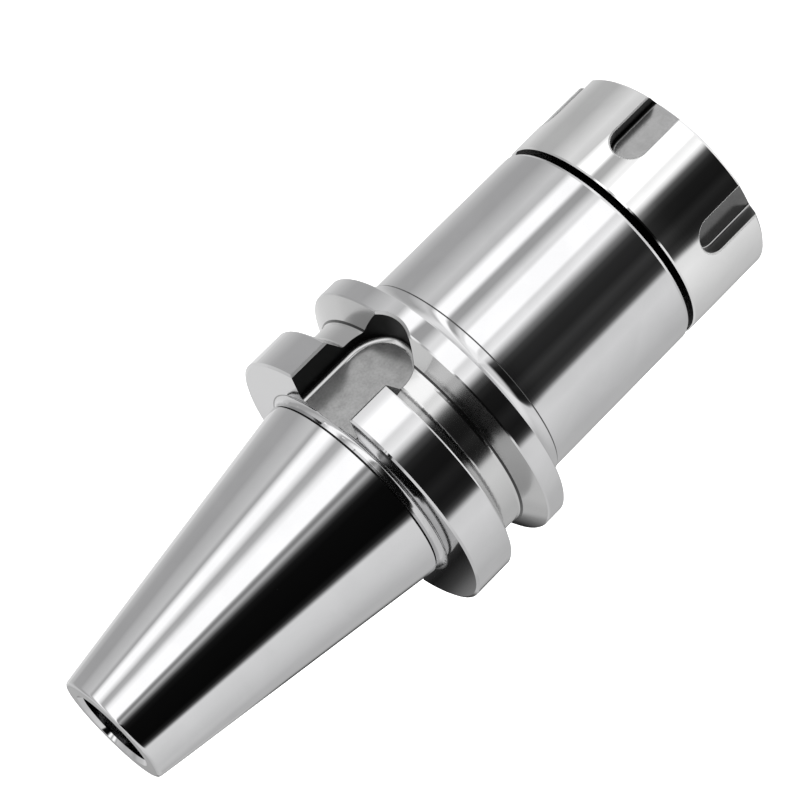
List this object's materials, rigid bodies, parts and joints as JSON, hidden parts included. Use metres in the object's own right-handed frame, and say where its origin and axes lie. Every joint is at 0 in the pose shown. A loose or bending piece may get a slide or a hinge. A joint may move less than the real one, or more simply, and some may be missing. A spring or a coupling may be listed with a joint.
{
  "type": "collet chuck tool holder",
  "caption": "Steep-taper machine tool holder with gripper flange and cylindrical body, holding a spring collet under a slotted clamping nut.",
  "frame": {"origin": "on the axis at the gauge plane of the taper, where its diameter is 44.45 mm", "axes": "+Z along the axis towards the small end of the taper; -Y through the middle of a drive slot; the nut's front face is the lowest point"},
  "size_m": [0.063, 0.063, 0.1611],
  "materials": {
    "holder_steel": "case-hardened alloy steel, ground and polished bright, with milled slot floors",
    "nut_steel": "hardened alloy steel, turned and polished bright",
    "ring_steel": "hardened steel, turned",
    "collet_steel": "spring steel, ground all over, sawn slits",
    "black_steel": "blackened screw steel"
  },
  "bodies": {
    "holder": {"holder_body": "holder_steel"},
    "stop": {"stop_screw": "black_steel"},
    "collet": {"collet": "collet_steel"},
    "nut": {"clamping_nut": "nut_steel", "extraction_ring": "ring_steel"}
  },
  "joints": [
    {"name": "collet_slide", "type": "slide", "parent": "holder", "child": "collet", "axis": [0, 0, -1], "range_m": [0, 0.0113]},
    {"name": "nut_turn", "type": "hinge", "parent": "collet", "child": "nut", "pos_m": [0, 0, -0.084], "axis": [0, 0, -1], "range_deg": [0, 2700]},
    {"name": "stop_screw_travel", "type": "slide", "parent": "holder", "child": "stop", "axis": [0, 0, -1], "range_m": [-0.012, 0.006]}
  ],
  "couplings": [
    {"joint": "collet_slide", "follows": "nut_turn", "m_per_rad": 0.00023873}
  ]
}
